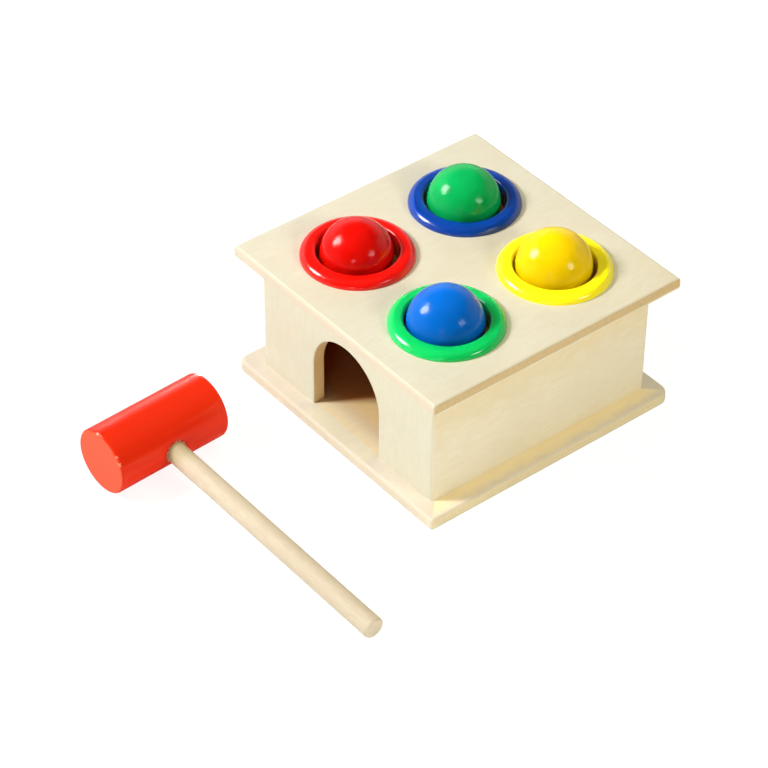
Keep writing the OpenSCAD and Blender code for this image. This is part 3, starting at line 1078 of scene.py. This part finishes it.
# Stage: white floor, white surround, and lamps that only fill or only glint
stageLight = {
    "ambientLow": 0.02, "ambientHigh": 0.83, "ambientTint": (1.0, 0.92, 0.70), "overheadGloss": 0.03,
    "glossBands": (                          # facing, height, width and brightness of what gloss reflects
        (321.0, (0.66, 0.36), (-0.2, 0.5), 0.85),
        (223.0, (0.5, 0.26), (0.5, 0.86), 0.5)),
    "floorSide": 12.0, "floorDrop": 0.1 * mm, "floorTone": 0.92,
    "floorReflected": (0.3, 0.04), "floorSeen": (0.26, 0.87),      # tone and glow
}

# "from" is azimuth, elevation and metres; a lamp with a reach lights only pieces named with these words
lamps = {
    "keyFill": {"from": (-34, 40, 1.45), "size": 0.34, "power": 18.6, "tint": (1.04, 1.01, 1.04)},
    "sideFill": {"from": (101, 28, 1.2), "size": 0.28, "power": 5.9, "tint": (1.0, 0.95, 0.78)},
    "frontFill": {"from": (38, 2.5, 1.3), "size": 0.18, "power": 3.0},
    "leftFill": {"from": (-118, 14, 1.8), "size": 0.8, "power": 8.0},
    "underFill": {"from": (0, -90, 0.5), "size": 0.1, "power": 0.1, "spread": 60},
    "ballLeft": {"from": (-80, 40, 1.5), "size": 0.4, "power": 14.5, "reach": ("Ball",)},
    "ballBack": {"from": (150, 30, 1.5), "size": 0.4, "power": 7.0, "reach": ("Ball",)},
    "ringLeft": {"from": (-80, 12, 1.5), "size": 0.3, "power": 14.0, "reach": ("Ring",)},
    "keyGlint": {"from": (-46, 34, 1.25), "size": 0.52, "power": 18.0, "tint": (1.0, 1.0, 0.96),
                 "glossy": True},
    "sideGlint": {"from": (105, 24, 1.2), "size": 0.34, "power": 3.0, "glossy": True,
                  "reach": ("Ball", "Ring")},
    "hammerGlint": {"from": (-119, 5, 1.5), "size": 0.36, "power": 14.0, "glossy": True,
                    "reach": ("hammerHead",)},
    "frontGlint": {"from": (40, 12, 1.3), "size": 0.2, "power": 0.6, "glossy": True},
}


def makeLamp(name, spec):
    azimuth, elevation, away = spec["from"]
    direction = fromAngles(azimuth, elevation)
    data = bpy.data.lights.new(name, "AREA")
    data.shape = "DISK"
    data.size = spec["size"]
    data.energy = spec["power"]
    data.color = spec.get("tint", (1.0, 1.0, 1.0))
    data.spread = math.radians(spec.get("spread", 180))
    light = bpy.data.objects.new(name, data)
    light.location = Vector((0, 0, 60 * mm)) + direction * away
    light.rotation_mode = "QUATERNION"
    light.rotation_quaternion = direction.to_track_quat("Z", "Y")
    light.visible_glossy = spec.get("glossy", False)
    light.visible_diffuse = not light.visible_glossy
    scene.collection.objects.link(light)
    if "reach" in spec:
        reached = bpy.data.collections.new(name + "Reach")
        for piece in scene.objects:
            if any(word in piece.name for word in spec["reach"]):
                reached.objects.link(piece)
        light.light_linking.receiver_collection = reached


def raysOf(tree):
    path = put(tree, "ShaderNodeLightPath")
    reflected = largest(path["Is Glossy Ray"], path["Is Transmission Ray"])
    return path["Is Camera Ray"], reflected, path["Is Shadow Ray"]


def floorMaterial(spec):
    material, tree, surface = newMaterial("whiteFloor")
    tree.nodes.remove(surface)
    camera, reflected, shadow = raysOf(tree)
    above = put(tree, "ShaderNodeBsdfDiffuse", {"Color": [spec["floorTone"]] * 3})[0]
    for ray, (tone, glow) in ((reflected, spec["floorReflected"]), (camera, spec["floorSeen"])):
        matt = put(tree, "ShaderNodeBsdfDiffuse", {"Color": (tone, tone, tone)})[0]
        lit = put(tree, "ShaderNodeEmission", {"Color": (1, 1, 1), "Strength": glow})[0]
        white = put(tree, "ShaderNodeAddShader", {0: matt, 1: lit})[0]
        above = put(tree, "ShaderNodeMixShader", {0: ray, 1: above, 2: white})[0]
    clear = put(tree, "ShaderNodeBsdfTransparent")[0]
    below = put(tree, "ShaderNodeNewGeometry")["Backfacing"]
    through = largest(below, shadow)         # lets the lamp underneath reach the base
    both = put(tree, "ShaderNodeMixShader", {0: through, 1: above, 2: clear})[0]
    feed(tree.nodes["Material Output"], {"Surface": both})
    return material


def makeWorld(spec):
    world = bpy.data.worlds.new("whiteSurround")
    world.use_nodes = True
    world.cycles.sampling_method = "NONE"    # so that glossy rays always find the dark overhead
    scene.world = world
    tree = world.node_tree
    tree.nodes.clear()
    camera, reflected, _ = raysOf(tree)
    direction = put(tree, "ShaderNodeTexCoord")["Generated"]
    up = put(tree, "ShaderNodeSeparateXYZ", {0: direction})[2]
    gloss = spec["overheadGloss"]
    for facing, height, width, bright in spec["glossBands"]:
        turn = math.radians(facing)
        towards = measure("DOT_PRODUCT", direction, (math.sin(turn), math.cos(turn), 0))
        here = times(remap(up, *height), remap(towards, *width))
        gloss = largest(gloss, times(here, bright))
    ambient = remap(up, 0.6, 0.98, spec["ambientLow"], spec["ambientHigh"])
    level = put(tree, "ShaderNodeMix", {0: reflected, 2: ambient, 3: gloss}, data_type="FLOAT")[0]
    level = put(tree, "ShaderNodeMix", {0: camera, 2: level, 3: 1.0}, data_type="FLOAT")[0]
    tint = mixColour(largest(camera, reflected), spec["ambientTint"], (1, 1, 1))
    background = put(tree, "ShaderNodeBackground", {"Color": tint, "Strength": level})[0]
    put(tree, "ShaderNodeOutputWorld", {"Surface": background})


def makeStage(spec):
    bm = bmesh.new()
    bmesh.ops.create_grid(bm, x_segments=1, y_segments=1, size=spec["floorSide"] / 2)
    mesh = bpy.data.meshes.new("floor")
    bm.to_mesh(mesh)
    bm.free()
    floor = place("floor", mesh)
    floor.location.z = -spec["floorDrop"]
    mesh.materials.append(floorMaterial(spec))
    for name, lamp in lamps.items():
        makeLamp(name, lamp)
    makeWorld(spec)


makeStage(stageLight)
print("stage made")
